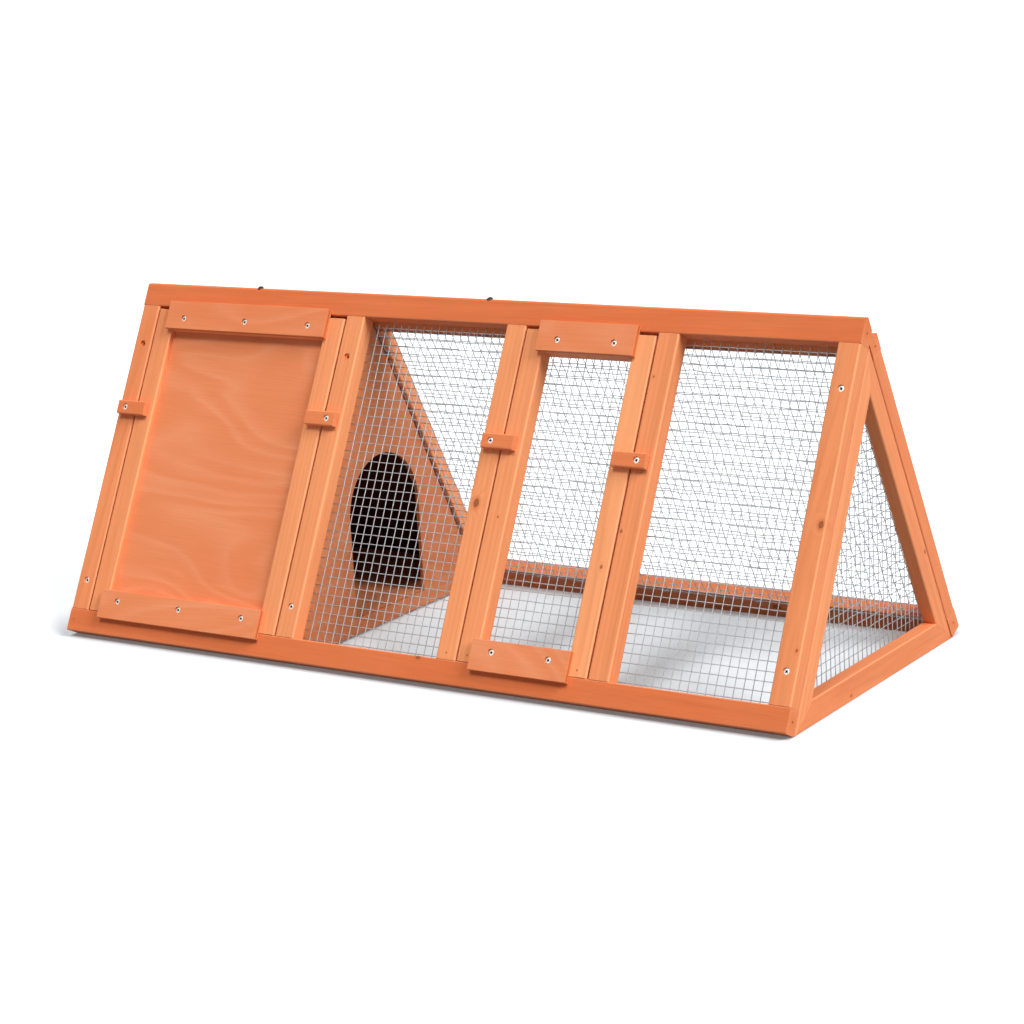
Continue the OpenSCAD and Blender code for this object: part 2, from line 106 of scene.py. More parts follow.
# Screws, the seats of their heads, and drilled holes
screw_d = 4 * mm
tip_l = 4 * mm
tip_share = 0.15
head_d = 8.8 * mm
flat_head_h = 1.8 * mm
domed_head_h = 2.8 * mm
head_rim = 0.9 * mm
head_round = 0.3 * mm
dome_rings = 5
recess_l = 4.6 * mm
recess_w = 1.1 * mm
recess_depth = 1.4 * mm
pit_d = 3.4 * mm
pit_foot_d = 1.2 * mm
pit_floor = 0.3 * mm
ridge_screw_lean = math.radians(18)
hole_d = 4.1 * mm
empty_hole_l = 22 * mm
button_hole_l = 30 * mm
seat_d = 9.4 * mm
seat_l = 12 * mm
end_hole_d = 3 * mm
end_hole_l = 14 * mm

# Points this close to a plane lie in it
tolerance = 0.2 * mm


def local_points(node, axes):
    """The points of a node's solid, measured along the given axes"""
    to_axes = axes.inverted()
    return [to_axes @ v.co for v in cad[node].data.vertices]


def extent(points):
    """The low and the high corner of the box round some points"""
    low = Vector([min(p[i] for p in points) for i in range(3)])
    high = Vector([max(p[i] for p in points) for i in range(3)])
    return low, high


# Axes of the slopes: X along the ridge, Y up the slope, Z outwards. The origin is the outer foot
# of the left end at the front, and of the right end at the back, where X runs the other way.
outer_foot = min((v.co for v in cad["front_bottom_rail"].data.vertices), key=lambda co: co.y)
ridge_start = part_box("front_bottom_rail")[0].x
front_axes = (
    Matrix.Translation((ridge_start, outer_foot.y, outer_foot.z))
    @ Matrix.Rotation(slope_angle, 4, "X")
)
back_axes = Matrix.Rotation(math.pi, 4, "Z") @ front_axes
level_axes = Matrix.Identity(4)
front_out = (front_axes.to_3x3() @ Vector((0, 0, 1))).normalized()
back_out = (back_axes.to_3x3() @ Vector((0, 0, 1))).normalized()


# Materials

def paint(code):
    """An sRGB hex colour as the linear values that a shader takes"""
    parts = [int(code[i:i + 2], 16) / 255 for i in (1, 3, 5)]
    return [p / 12.92 if p <= 0.04045 else ((p + 0.055) / 1.055) ** 2.4 for p in parts] + [1]


def new_material(name, **settings):
    """A material with one Principled shader, whose settings are given by their socket names"""
    material = bpy.data.materials.new(name)
    material.use_nodes = True
    shader = material.node_tree.nodes["Principled BSDF"]
    for socket, value in settings.items():
        shader.inputs[socket.replace("_", " ")].default_value = value
    return material, material.node_tree, shader


def add(tree, kind, inputs, output=0, **settings):
    """Adds a node with its settings. An input is a value or another node's output"""
    made = tree.nodes.new("ShaderNode" + kind)
    for name, value in settings.items():
        setattr(made, name, value)
    for socket, value in inputs.items():
        if isinstance(value, bpy.types.NodeSocket):
            tree.links.new(value, made.inputs[socket])
        else:
            made.inputs[socket].default_value = value
    return made.outputs[output]


def read(tree, name, output="Fac"):
    """What mark_grain or screw_pattern stored on the piece under a name"""
    return add(tree, "Attribute", {}, output, attribute_name=name)


def mix(tree, share, a, b):
    """Colour a with a share of colour b over it"""
    return add(tree, "Mix", {"Factor": share, "A": a, "B": b}, "Result", data_type="RGBA")


def scaled(tree, value, by, plus=0.0):
    """A value times a number, plus another value or number"""
    return add(tree, "Math", {0: value, 1: by, 2: plus}, operation="MULTIPLY_ADD")


def fade(tree, value, start, end, first, last, kind="SMOOTHSTEP"):
    """Goes smoothly from first to last while the value goes from start to end"""
    return add(tree, "MapRange", {0: value, 1: start, 2: end, 3: first, 4: last},
               interpolation_type=kind)


def noise(tree, grain, waves, **settings):
    """Noise with so many waves in a metre along the grain, across the board and through it"""
    way = add(tree, "VectorMath", {0: grain, 1: waves}, operation="MULTIPLY")
    return add(tree, "TexNoise", {"Vector": way, "Scale": 1.0, **settings}, "Fac")


def grey_ramp(tree, value, first, stops, last):
    """Greys that run smoothly from first at 0 through pairs of place and grey to last at 1"""
    shade = add(tree, "ValToRGB", {"Fac": value}, "Color")
    ramp = shade.node.color_ramp
    ramp.interpolation = "B_SPLINE"
    for place, grey in stops:
        ramp.elements.new(place).color = (grey, grey, grey, 1)
    for element, grey in ((ramp.elements[0], first), (ramp.elements[-1], last)):
        element.color = (grey, grey, grey, 1)
    return shade


def knot_distance(tree, name):
    """How far a point is from a knot's middle, where 1 is the knot's edge"""
    place = read(tree, name, "Vector")
    flutter = add(tree, "TexNoise", {"Vector": place, "Scale": 0.9, "Detail": 1.0}, "Fac")
    reach = add(tree, "VectorMath", {0: place}, "Value", operation="LENGTH")
    return scaled(tree, flutter, 0.5, reach)


def stain(tree, tone, patch, deep, pale):
    """The stain's colour: a tone from -1 for a deep coat to 1 for a pale one, a little uneven"""
    coat = scaled(tree, patch, 0.3, scaled(tree, tone, 0.5, 0.35))
    coat.node.use_clamp = True
    return mix(tree, coat, paint(deep), paint(pale))


def fir():
    """Planed fir with a thin orange stain: fine fibre lines, growth rings from the tree's heart, a
    few knots, and a stain that takes unevenly and wears thin on the arrises, which also carry a
    painted highlight"""
    material, tree, shader = new_material(
        "stained_fir", Roughness=0.55, IOR=1.45, Specular_IOR_Level=0.2)
    grain = read(tree, "grain", "Vector")

    # Knots push the rings aside
    near = add(tree, "Math", {0: knot_distance(tree, "knot_a"), 1: knot_distance(tree, "knot_b")},
               operation="MINIMUM")
    push = fade(tree, near, 0.4, 4.5, 9 * mm, 0.0, "SMOOTHERSTEP")

    # Growth rings, 7 mm apart, which is coarser than real so that they show
    wander = noise(tree, grain, (2.2, 16, 16), Detail=2.0)
    cross_way = add(tree, "VectorMath", {0: grain, 1: (0, 1, 1)}, operation="MULTIPLY")
    radius = add(tree, "VectorMath", {0: cross_way}, "Value", operation="LENGTH")
    radius = scaled(tree, wander, 16 * mm, radius)
    radius = add(tree, "Math", {0: radius, 1: push}, operation="ADD")
    ring = add(tree, "Math", {0: scaled(tree, radius, 1 / (7 * mm))}, operation="FRACT")
    late = grey_ramp(
        tree, ring, 0.1, [(0.35, 0.05), (0.72, 0.55), (0.86, 1.0), (0.97, 0.1)], 0.05)

    # Fibres 1.5 mm wide and 60 mm long, and broad patches where the stain took more or less
    fibre = noise(tree, grain, (16, 660, 660), Detail=3.0)
    patch = noise(tree, grain, (5, 22, 22), Detail=2.0)
    streak = noise(tree, grain, (3, 120, 120), Detail=2.0)
    colour = stain(tree, read(tree, "tone"), patch, "#D76B3A", "#FBA973")
    colour = mix(tree, scaled(tree, late, 0.26), colour, paint("#D06A3A"))
    light = scaled(tree, streak, 0.24, scaled(tree, fibre, 0.2, 0.79))
    colour = add(tree, "HueSaturation", {"Value": light, "Color": colour}, "Color")

    # The arrises are paler, partly stain worn thin and partly a painted highlight, and the stain
    # soaks into the end grain
    colour = mix(tree, scaled(tree, read(tree, "arris"), 0.36), colour, paint("#FFB184"))
    colour = mix(tree, scaled(tree, read(tree, "end_grain"), 0.4), colour, paint("#DB7A45"))

    # A knot is a brown disc with a paler heart, in a reddish halo
    colour = mix(tree, fade(tree, near, 0.9, 2.3, 0.5, 0.0), colour, paint("#C85F33"))
    colour = mix(tree, fade(tree, near, 0.95, 1.15, 0.85, 0.0), colour, paint("#8A4B2A"))
    colour = mix(tree, fade(tree, near, 0.45, 0.85, 0.55, 0.0), colour, paint("#AB6A44"))
    tree.links.new(colour, shader.inputs["Base Color"])

    tree.links.new(scaled(tree, late, -0.08, 0.6), shader.inputs["Roughness"])
    relief = scaled(tree, late, 0.5, fibre)
    bump = add(tree, "Bump", {"Strength": 0.25, "Distance": 0.25 * mm, "Height": relief}, "Normal")
    tree.links.new(bump, shader.inputs["Normal"])
    return material


def ply():
    """Thin rotary-cut plywood under the same stain: the knife unrolls the log, so the rings show
    as broad pale swirls, crossed by fine lathe lines. Its edges show three plies"""
    material, tree, shader = new_material(
        "stained_plywood", Roughness=0.6, IOR=1.45, Specular_IOR_Level=0.2)
    grain = read(tree, "grain", "Vector")

    # The height at which the knife met each ring, as slow waves longer along the grain
    wave = noise(tree, grain, (3.4, 9, 1), Detail=1.5, Roughness=0.45, Distortion=0.6)
    figure = add(tree, "Math", {0: scaled(tree, wave, 9.0)}, operation="FRACT")
    pale = grey_ramp(
        tree, figure, 0.05, [(0.3, 0.1), (0.6, 0.75), (0.72, 0.9), (0.86, 0.2)], 0.05)
    cloud = noise(tree, grain, (5, 11, 1), Detail=3.0)
    lathe = noise(tree, grain, (11, 420, 1), Detail=3.0)
    colour = stain(tree, read(tree, "tone"), cloud, "#D97141", "#F29A69")
    share = add(tree, "Math", {0: scaled(tree, pale, 0.34), 1: cloud}, operation="MULTIPLY")
    colour = mix(tree, share, colour, paint("#FFBE97"))
    light = scaled(tree, lathe, 0.2, 0.9)
    colour = add(tree, "HueSaturation", {"Value": light, "Color": colour}, "Color")

    # The middle ply's end grain drinks more stain than the two face plies
    plies = add(tree, "ValToRGB", {"Fac": read(tree, "ply_depth")}, "Color")
    ramp = plies.node.color_ramp
    ramp.interpolation = "CONSTANT"
    ramp.elements[0].position, ramp.elements[0].color = 0.0, paint("#D9824F")
    ramp.elements[1].position, ramp.elements[1].color = 0.33, paint("#A95C36")
    ramp.elements.new(0.67).color = paint("#D47B49")
    colour = mix(tree, scaled(tree, read(tree, "end_grain"), 0.8), colour, plies)

    # Inside the house the boards are painted dark, as painted shade
    colour = mix(tree, read(tree, "indoors"), colour, paint("#5E382B"))
    tree.links.new(colour, shader.inputs["Base Color"])
    bump = add(tree, "Bump", {"Strength": 0.2, "Distance": 0.15 * mm, "Height": lathe}, "Normal")
    tree.links.new(bump, shader.inputs["Normal"])
    return material


def metal(name, light, dark, roughness, spot):
    """A metal whose surface turns between two shades in spots of the given size. The cross
    recesses of screws are painted near black, as painted shade"""
    material, tree, shader = new_material(name, Metallic=1.0, Roughness=roughness)
    place = add(tree, "TexCoord", {}, "Object")
    cloud = add(tree, "TexNoise", {"Vector": place, "Scale": 1 / spot, "Detail": 2.0}, "Fac")
    colour = mix(tree, cloud, paint(light), paint(dark))
    # Painted shade: faces marked as recess are painted near black
    colour = mix(tree, read(tree, "recess"), colour, paint("#1E1C1A"))
    tree.links.new(colour, shader.inputs["Base Color"])
    tree.links.new(scaled(tree, cloud, 0.2, roughness - 0.1), shader.inputs["Roughness"])
    return material


def hot_dip_zinc():
    """Welded wire dipped in zinc: dull silver with frosty patches a few millimetres long"""
    return metal("galvanised_wire", "#BABDBF", "#9A9DA0", 0.42, 9 * mm)


def bright_zinc():
    """Zinc plating on steel screws: bright and faintly mottled"""
    return metal("zinc_screws", "#F2F1EC", "#DCDCD8", 0.38, 3 * mm)


def browned_steel():
    """Dark brown oxide on the two ridge screws"""
    return metal("browned_steel", "#5A4636", "#3A2B21", 0.45, 3 * mm)


materials = {
    "stained_fir": fir(),
    "stained_plywood": ply(),
    "galvanised_wire": hot_dip_zinc(),
    "zinc_screws": bright_zinc(),
    "browned_steel": browned_steel(),
}


# Modelling tools

def only(piece):
    """Leaves this piece alone selected and active"""
    bpy.ops.object.select_all(action="DESELECT")
    piece.select_set(True)
    bpy.context.view_layer.objects.active = piece


def settle():
    """Keeps the selected piece's place in its mesh"""
    bpy.ops.object.transform_apply(location=True, rotation=True, scale=True)


def block(name, axes, low, high):
    """A sharp block between two corners of the given axes"""
    bpy.ops.object.select_all(action="DESELECT")
    bpy.ops.mesh.primitive_cube_add(
        size=1, location=axes @ ((low + high) / 2), rotation=axes.to_euler(), scale=high - low)
    piece = bpy.context.object
    piece.name = name
    settle()
    return piece


def pick(mesh, items, wanted):
    """Selects nothing but the wanted faces or edges of a piece, and opens it for editing"""
    for part in (mesh.vertices, mesh.edges, mesh.polygons):
        for item in part:
            item.select = False
    for item in items:
        item.select = wanted(item)
    bpy.ops.object.mode_set(mode="EDIT")


def pick_faces(piece, wanted):
    """Opens a piece for editing with its wanted faces selected"""
    bpy.context.tool_settings.mesh_select_mode = (False, False, True)
    pick(piece.data, piece.data.polygons, wanted)


def pick_edges(piece, wanted):
    """Opens a piece for editing with its wanted edges selected"""
    bpy.context.tool_settings.mesh_select_mode = (False, True, False)
    pick(piece.data, piece.data.edges, wanted)


def rod(name, middle, direction, diameter, length, sides):
    """A round rod with its middle at a place"""
    bpy.ops.object.select_all(action="DESELECT")
    bpy.ops.mesh.primitive_cylinder_add(
        vertices=sides, radius=diameter / 2, depth=length, location=middle,
        rotation=direction.to_track_quat("Z", "Y").to_euler())
    piece = bpy.context.object
    piece.name = name
    settle()
    return piece


def saw(piece, place, outwards):
    """Saws off what lies beyond a plane and closes the cut"""
    only(piece)
    bpy.ops.object.mode_set(mode="EDIT")
    bpy.ops.mesh.select_all(action="SELECT")
    bpy.ops.mesh.bisect(plane_co=place, plane_no=outwards, use_fill=True, clear_outer=True)
    bpy.ops.object.mode_set(mode="OBJECT")


def use_modifier(piece, kind, **settings):
    """Adds a modifier with its settings and applies it"""
    only(piece)
    modifier = piece.modifiers.new(kind.title(), kind)
    for name, value in settings.items():
        setattr(modifier, name, value)
    bpy.ops.object.modifier_apply(modifier=modifier.name)


def carve(piece, cutter, operation="DIFFERENCE"):
    """Takes the cutter's shape out of a piece, or adds it where the operation is UNION"""
    use_modifier(piece, "BOOLEAN", operation=operation, object=cutter, solver="EXACT")
    bpy.data.objects.remove(cutter)


def join(pieces):
    """Makes the first piece take up the others"""
    only(pieces[0])
    for piece in pieces[1:]:
        piece.select_set(True)
    bpy.ops.object.join()


def stamp(pattern, placing):
    """A copy of a pattern in another place"""
    copy = pattern.copy()
    copy.data = pattern.data.copy()
    bpy.context.collection.objects.link(copy)
    copy.data.transform(placing)
    return copy


def ease(piece, fibre, along, across):
    """Rounds the long arrises by one radius and the others by a smaller one"""
    mesh = piece.data
    weights = mesh.attributes.new("bevel_weight_edge", "FLOAT", "EDGE")
    for edge in mesh.edges:
        a, b = (mesh.vertices[i].co for i in edge.vertices)
        runs_along = abs((b - a).normalized().dot(fibre)) > 0.9
        weights.data[edge.index].value = 1.0 if runs_along else across / along
    use_modifier(piece, "BEVEL", width=along, segments=3, limit_method="WEIGHT",
                 use_clamp_overlap=True)


def smooth(piece):
    """Shades the rounded arrises smooth and keeps the planed faces flat"""
    only(piece)
    bpy.ops.object.shade_smooth_by_angle(angle=math.radians(40))
    use_modifier(piece, "WEIGHTED_NORMAL", keep_sharp=True, weight=60)


def store(piece, name, kind, domain, values):
    """Keeps one value for each point or face under a name that the materials read"""
    attribute = piece.data.attributes.new(name, kind, domain)
    field = "vector" if kind == "FLOAT_VECTOR" else "value"
    flat = [x for v in values for x in v] if kind == "FLOAT_VECTOR" else values
    attribute.data.foreach_set(field, flat)


# A place in the middle of the house, which its walls' inner faces look at
above_floor = Vector((0, 0, 120 * mm))
house_middle = sum(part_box("house_floor"), Vector()) / 2 + above_floor
house_walls = ("left_end_board", "back_house_board", "house_door_panel", "divider_board")

# Boards that the photo shows paler or deeper than the rest
tones = {
    "front_top_rail": -0.75, "front_bottom_rail": -0.75, "back_top_rail": -0.4,
    "back_bottom_rail": -0.3, "front_left_stile": 0.0, "front_house_stile": 0.35,
    "front_middle_stile": 0.5, "front_bay_stile": 0.15, "front_right_stile": 0.1,
    "back_right_stile": -0.2, "house_door_left_stile": 0.2, "house_door_right_stile": 0.4,
    "run_door_left_stile": 0.4, "run_door_right_stile": 0.85,
    "right_end_front_leg": 0.4, "right_end_back_leg": 0.1, "right_end_foot_rail": -0.2,
    "house_left_button": -0.5, "house_right_button": -0.4, "run_left_button": -0.4,
    # divider_board's paler tone partly stands in for the light on its face, as painted light
    "run_right_button": -0.5, "house_door_panel": -0.1, "divider_board": 0.2,
    "house_door_top_batten": -0.2, "house_door_bottom_batten": 0.0,
    "run_door_top_batten": -0.1, "run_door_bottom_batten": 0.0,
}

# Knots: place along the board from its low end, place across from its middle, radius, in mm.
# A board with a single knot has a pin knot too, and the boards that aren't listed have none
knots = {
    "front_middle_stile": [(211, -3.5, 5)],
    "front_right_stile": [(226, 9, 4), (69, 9, 1.6)],
    "front_bay_stile": [(193, -10.5, 1.8), (398, -9, 1.2)],
    "run_door_right_stile": [(144, 4.5, 2)],
    "run_door_left_stile": [(195, 2, 1.2)],
    "front_bottom_rail": [(612, 14, 3)],
    "right_end_back_leg": [(160, 8, 2.2)],
    "right_end_foot_rail": [(152, -9, 2)],
    "back_right_stile": [(66, -10, 2.4), (440, 13, 2)],
    "back_top_rail": [(420, 6, 4), (880, -8, 4)],
    "back_bottom_rail": [(260, 3, 5), (980, -6, 3)],
    "back_house_stile": [(330, 2, 5), (120, -8, 2.5)],
    "left_end_front_leg": [(300, 4, 4)],
}
pin_knot = (9.0, 0.0, 1.0)
far_from_knots = (50.0, 50.0, 0.0)
knot_stretch = 1.45


def mark_knots(piece, node, places):
    """Stores how many radii each point is from a board's two knots, along and across it"""
    listed = knots.get(node)
    for k, name in enumerate(("knot_a", "knot_b")):
        values = [far_from_knots] * len(places)
        if listed:
            up, side, radius = listed[k] if k < len(listed) else pin_knot
            values = [((x - up) / (knot_stretch * radius), (y - side) / radius, 0.0)
                      for x, y in places]
        store(piece, name, "FLOAT_VECTOR", "POINT", values)


def mark_faces(piece, node, grain_way, sheet_way, sheet):
    """Stores which faces show end grain, and which look into the house and get painted shade"""
    ends = []
    indoors = []
    for face in piece.data.polygons:
        if sheet:
            ends.append(1.0 if abs(face.normal.dot(sheet_way)) < 0.6 else 0.0)
        else:
            ends.append(max(0.0, abs(face.normal.dot(grain_way)) * 1.6 - 0.6))
        broad = abs(face.normal.dot(sheet_way)) > 0.9
        # Faces that look into the house are marked for painted shade
        inner = face.normal.dot(house_middle - face.center) > 0
        indoors.append(1.0 if node in house_walls and broad and inner else 0.0)
    store(piece, "end_grain", "FLOAT", "FACE", ends)
    store(piece, "indoors", "FLOAT", "FACE", indoors)


def mark_grain(piece, node, axes, fibre, low, high, arris):
    """Stores where each point lies along and across the grain, what the stain does there, and
    where the painted highlight and painted shade go
    """
    rng = random.Random(node)
    size = high - low
    middle = (low + high) / 2
    across, through = sorted(((fibre + 1) % 3, (fibre + 2) % 3), key=lambda i: -size[i])
    sheet = size[through] < sheet_limit
    # A timber board lies beside the tree's heart, which its rings run round. A sheet is peeled
    # off the log, and gets a place in the figure instead
    turn = rng.uniform(0, 2 * math.pi)
    reach = rng.uniform(18, 60) * mm
    heart = (math.cos(turn) * reach, math.sin(turn) * reach)
    lean = (rng.uniform(-0.02, 0.02), rng.uniform(-0.03, 0.03))
    start = rng.uniform(0, 40)
    if sheet:
        heart = (rng.uniform(-5, 5), rng.uniform(-5, 5))
        lean = (rng.uniform(-0.05, 0.05), 0.0)
    to_board = axes.inverted()
    spots = [to_board @ v.co for v in piece.data.vertices]
    marks = []
    for p in spots:
        x = p[fibre] - middle[fibre]
        y = p[across] - middle[across] - heart[0] - lean[0] * x
        z = 0.0 if sheet else p[through] - middle[through] - heart[1] - lean[1] * x
        marks.append((x + start, y, z))
    store(piece, "grain", "FLOAT_VECTOR", "POINT", marks)
    tone = tones.get(node, rng.uniform(-0.4, 0.4))
    store(piece, "tone", "FLOAT", "POINT", [tone] * len(spots))
    if sheet:
        depths = [(p[through] - low[through]) / size[through] for p in spots]
        store(piece, "ply_depth", "FLOAT", "POINT", depths)
    else:
        mark_knots(piece, node, [((p[fibre] - low[fibre]) / mm, (p[across] - middle[across]) / mm)
                                 for p in spots])
        # Points on the rounded arrises get worn stain and a painted highlight
        rounded = []
        for p in spots:
            inset = [min(p[i] - low[i], high[i] - p[i]) for i in (across, through)]
            on_round = all(0.05 * arris < d < 0.95 * arris for d in inset)
            rounded.append(1.0 if on_round else 0.0)
        store(piece, "arris", "FLOAT", "POINT", rounded)
    turned = axes.to_3x3()
    mark_faces(piece, node, turned.col[fibre].normalized(), turned.col[through].normalized(),
               sheet)


def fit(piece, node, slot):
    """Gives a finished piece its material and its body, and hides the solid that it stands for"""
    piece.data.materials.clear()
    piece.data.materials.append(materials[slot])
    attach(piece, body_of[node])
    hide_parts(node)


def board(node, axes, fibre, arris, cuts=(), cutters=(), slot="stained_fir"):
    """A board in its solid's place: sawn, its arrises rounded, then grooved and drilled.
    cuts are planes, and cutters are functions that make what is taken out"""
    low, high = extent(local_points(node, axes))
    suffix = "_ply" if slot == "stained_plywood" else "_timber"
    piece = block(node + suffix, axes, low, high)
    for place, outwards in cuts:
        saw(piece, place, outwards)
    fibre_way = axes.to_3x3().col[fibre].normalized()
    ease(piece, fibre_way, arris, min(arris, end_round))
    for cutter in cutters:
        carve(piece, cutter())
    smooth(piece)
    mark_grain(piece, node, axes, fibre, low, high, arris)
    fit(piece, node, slot)


def hole(place, direction, diameter, depth):
    """A drill bit for a board's list of cutters, which goes in as deep as it says"""
    return lambda: rod("drill", place, direction, diameter, 2 * depth, 24)


def groove_round(node, axes):
    """The space that a thin board takes in the grooves round it"""
    low, high = extent(local_points(node, axes))
    room = Vector((groove_gap,) * 3)
    return lambda: block("groove", axes, low - room, high + room)


# Long sides

def rail_ends(node, axes):
    """The small holes drilled into both ends of a rail, in the middle of its outer face"""
    points = local_points(node, axes)
    low, high = extent(points)
    outer_low, outer_high = extent([p for p in points if p.z > high.z - tolerance])
    along = axes.to_3x3() @ Vector((1, 0, 0))
    bits = []
    for x, way in ((low.x, along), (high.x, -along)):
        place = axes @ Vector((x, (outer_low.y + outer_high.y) / 2, (low.z + high.z) / 2))
        bits.append(hole(place, way, end_hole_d, end_hole_l))
    return bits


def screw_axes(node, axes):
    """The middles of a node's screws, found from the spread of each one's points"""
    # Points further apart than this belong to different screws
    reach = 1.25 * head_d
    groups = []
    for p in local_points(node, axes):
        for group in groups:
            if abs(p.x - group[0].x) < reach and abs(p.y - group[0].y) < reach:
                group.append(p)
                break
        else:
            groups.append([p])
    spots = []
    for group in groups:
        low, high = extent(group)
        spots.append(Vector(((low.x + high.x) / 2, (low.y + high.y) / 2, high.z)))
    return sorted(spots, key=lambda p: (round(p.x, 2), p.y))


ridge_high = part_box("front_top_rail")[1]
ridge_edge = max(v.co.y for v in cad["front_top_rail"].data.vertices if v.co.z > ridge_high.z - mm)
ridge_axes = (
    Matrix.Translation((0, ridge_edge, ridge_high.z))
    @ Matrix.Rotation(ridge_screw_lean, 4, "X")
)
ridge_screws = screw_axes("ridge_screws", ridge_axes)


def seat(axes, p, tall=flat_head_h):
    """The round seat of a screw head, open above. p is the middle of the head's top"""
    way = axes.to_3x3().col[2].normalized()
    foot = axes @ (p - Vector((0, 0, tall)))
    return lambda: rod("seat", foot + way * seat_l / 2, way, seat_d, seat_l, 32)


def seats(node, axes, screws):
    """The seats of those screws that stand in a board"""
    low, high = extent(local_points(node, axes))
    return [seat(axes, p) for p in screws if low.x < p.x < high.x and low.y < p.y < high.y]


board("front_top_rail", front_axes, 0, rail_round,
      cuts=[(ridge_high, Vector((0, 0, 1))),
            (Vector((0, ridge_edge, ridge_high.z)), back_out)],
      cutters=rail_ends("front_top_rail", front_axes)
      + [seat(ridge_axes, p, domed_head_h) for p in ridge_screws])
board("front_bottom_rail", front_axes, 0, rail_round,
      cutters=rail_ends("front_bottom_rail", front_axes))

frame_screws = screw_axes("front_panel_screws", front_axes)
upper_screw = max(frame_screws, key=lambda p: p.y)
for node in ("front_left_stile", "front_house_stile"):
    low, high = extent(local_points(node, front_axes))
    screw = min(frame_screws, key=lambda p: abs(p.x - (low.x + high.x) / 2))
    empty = Vector((screw.x, upper_screw.y, upper_screw.z))
    board(node, front_axes, 1, stile_round,
          cutters=seats(node, front_axes, frame_screws + [empty])
          + [hole(front_axes @ empty, -front_out, hole_d, empty_hole_l)])
for node in ("front_middle_stile", "front_bay_stile", "front_right_stile"):
    board(node, front_axes, 1, stile_round, cutters=seats(node, front_axes, frame_screws))

rail_low = extent(local_points("front_bottom_rail", front_axes))[0]
inner_face = front_axes @ Vector((0, 0, rail_low.z))
back_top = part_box("back_top_rail")[1]
back_groove = groove_round("back_house_board", back_axes)
board("back_top_rail", back_axes, 0, rail_round,
      cuts=[(back_top, Vector((0, 0, 1))), (inner_face, front_out)],
      cutters=rail_ends("back_top_rail", back_axes) + [back_groove])
board("back_bottom_rail", back_axes, 0, rail_round,
      cutters=rail_ends("back_bottom_rail", back_axes) + [back_groove])
back_screws = screw_axes("back_panel_screws", back_axes)
for node in ("back_left_stile", "back_house_stile"):
    board(node, back_axes, 1, stile_round,
          cutters=seats(node, back_axes, back_screws) + [back_groove])
board("back_right_stile", back_axes, 1, stile_round,
      cutters=seats("back_right_stile", back_axes, back_screws))
board("back_house_board", back_axes, 0, sheet_round, slot="stained_plywood")


# End frames and divider

def corner(node, axes, inner):
    """The outer or inner corner of a leg's foot mitre"""
    points = local_points(node, axes)
    low, high = extent(points)
    line = low.z if inner else high.z
    return axes @ min((p for p in points if abs(p.z - line) < tolerance), key=lambda p: p.y)


def mitre(leg, axes):
    """The plane of the joint between a leg and the rail at its foot, facing down and inwards"""
    outer, inner = corner(leg, axes, False), corner(leg, axes, True)
    slant = inner - outer
    slant.x = 0
    facing = Vector((0, slant.z, -slant.y))
    if facing.z > 0:
        facing.negate()
    return outer, facing.normalized()


for end in ("left_end", "divider", "right_end"):
    front_leg, back_leg = end + "_front_leg", end + "_back_leg"
    front_joint = mitre(front_leg, front_axes)
    back_joint = mitre(back_leg, back_axes)
    middle = Vector((0, 0, 0))
    board(front_leg, front_axes, 1, stile_round, cuts=[(middle, Vector((0, 1, 0))), front_joint])
    board(back_leg, back_axes, 1, stile_round, cuts=[(middle, Vector((0, -1, 0))), back_joint])
    board(end + "_foot_rail", level_axes, 1, rail_round,
          cuts=[(front_joint[0], -front_joint[1]), (back_joint[0], -back_joint[1])])


def triangle(node, cutters=()):
    """A triangular sheet that just clears the long sides"""
    points = local_points(node, level_axes)
    foremost = min(points, key=lambda p: p.y)
    rearmost = max(points, key=lambda p: p.y)
    board(node, level_axes, 1, sheet_round, cuts=[(foremost, front_out), (rearmost, back_out)],
          cutters=cutters, slot="stained_plywood")


def doorway():
    """The arched hole in the divider: straight jambs under a half circle"""
    low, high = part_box("divider_board")
    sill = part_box("house_floor")[1].z
    spring = doorway_top - doorway_w / 2
    middle_x = (low.x + high.x) / 2
    half_l = 15 * mm
    arch = rod("arch", Vector((middle_x, 0, spring)), Vector((1, 0, 0)), doorway_w, 2 * half_l, 96)
    jambs = block("jambs", level_axes, Vector((middle_x - half_l, -doorway_w / 2, sill)),
                  Vector((middle_x + half_l, doorway_w / 2, spring)))
    carve(arch, jambs, "UNION")
    return arch


triangle("left_end_board")
triangle("divider_board", cutters=[doorway])


def floor_sheet():
    """The house floor, with a tongue at each end that lies between the legs"""
    node = "house_floor"
    points = local_points(node, level_axes)
    low, high = extent(points)
    tongue = max(abs(p.y) for p in points if abs(p.x - low.x) < mm)
    wide_low = min(p.x for p in points if abs(abs(p.y) - high.y) < mm)
    wide_high = max(p.x for p in points if abs(abs(p.y) - high.y) < mm)
    piece = block(node + "_ply", level_axes, Vector((wide_low, low.y, low.z)),
                  Vector((wide_high, high.y, high.z)))
    bpy.ops.object.mode_set(mode="EDIT")
    for side in (-tongue, tongue):
        bpy.ops.mesh.select_all(action="SELECT")
        bpy.ops.mesh.bisect(plane_co=(0, side, 0), plane_no=(0, 1, 0))
    for x, reach in ((wide_low, low.x - wide_low), (wide_high, high.x - wide_high)):
        bpy.ops.object.mode_set(mode="OBJECT")
        pick_faces(piece, lambda face: abs(face.center.x - x) < mm and abs(face.center.y) < mm)
        bpy.ops.mesh.extrude_region_move(TRANSFORM_OT_translate={"value": (reach, 0, 0)})
    bpy.ops.object.mode_set(mode="OBJECT")
    ease(piece, Vector((1, 0, 0)), sheet_round, sheet_round)
    smooth(piece)
    mark_grain(piece, node, level_axes, 0, low, high, sheet_round)
    fit(piece, node, "stained_plywood")


floor_sheet()

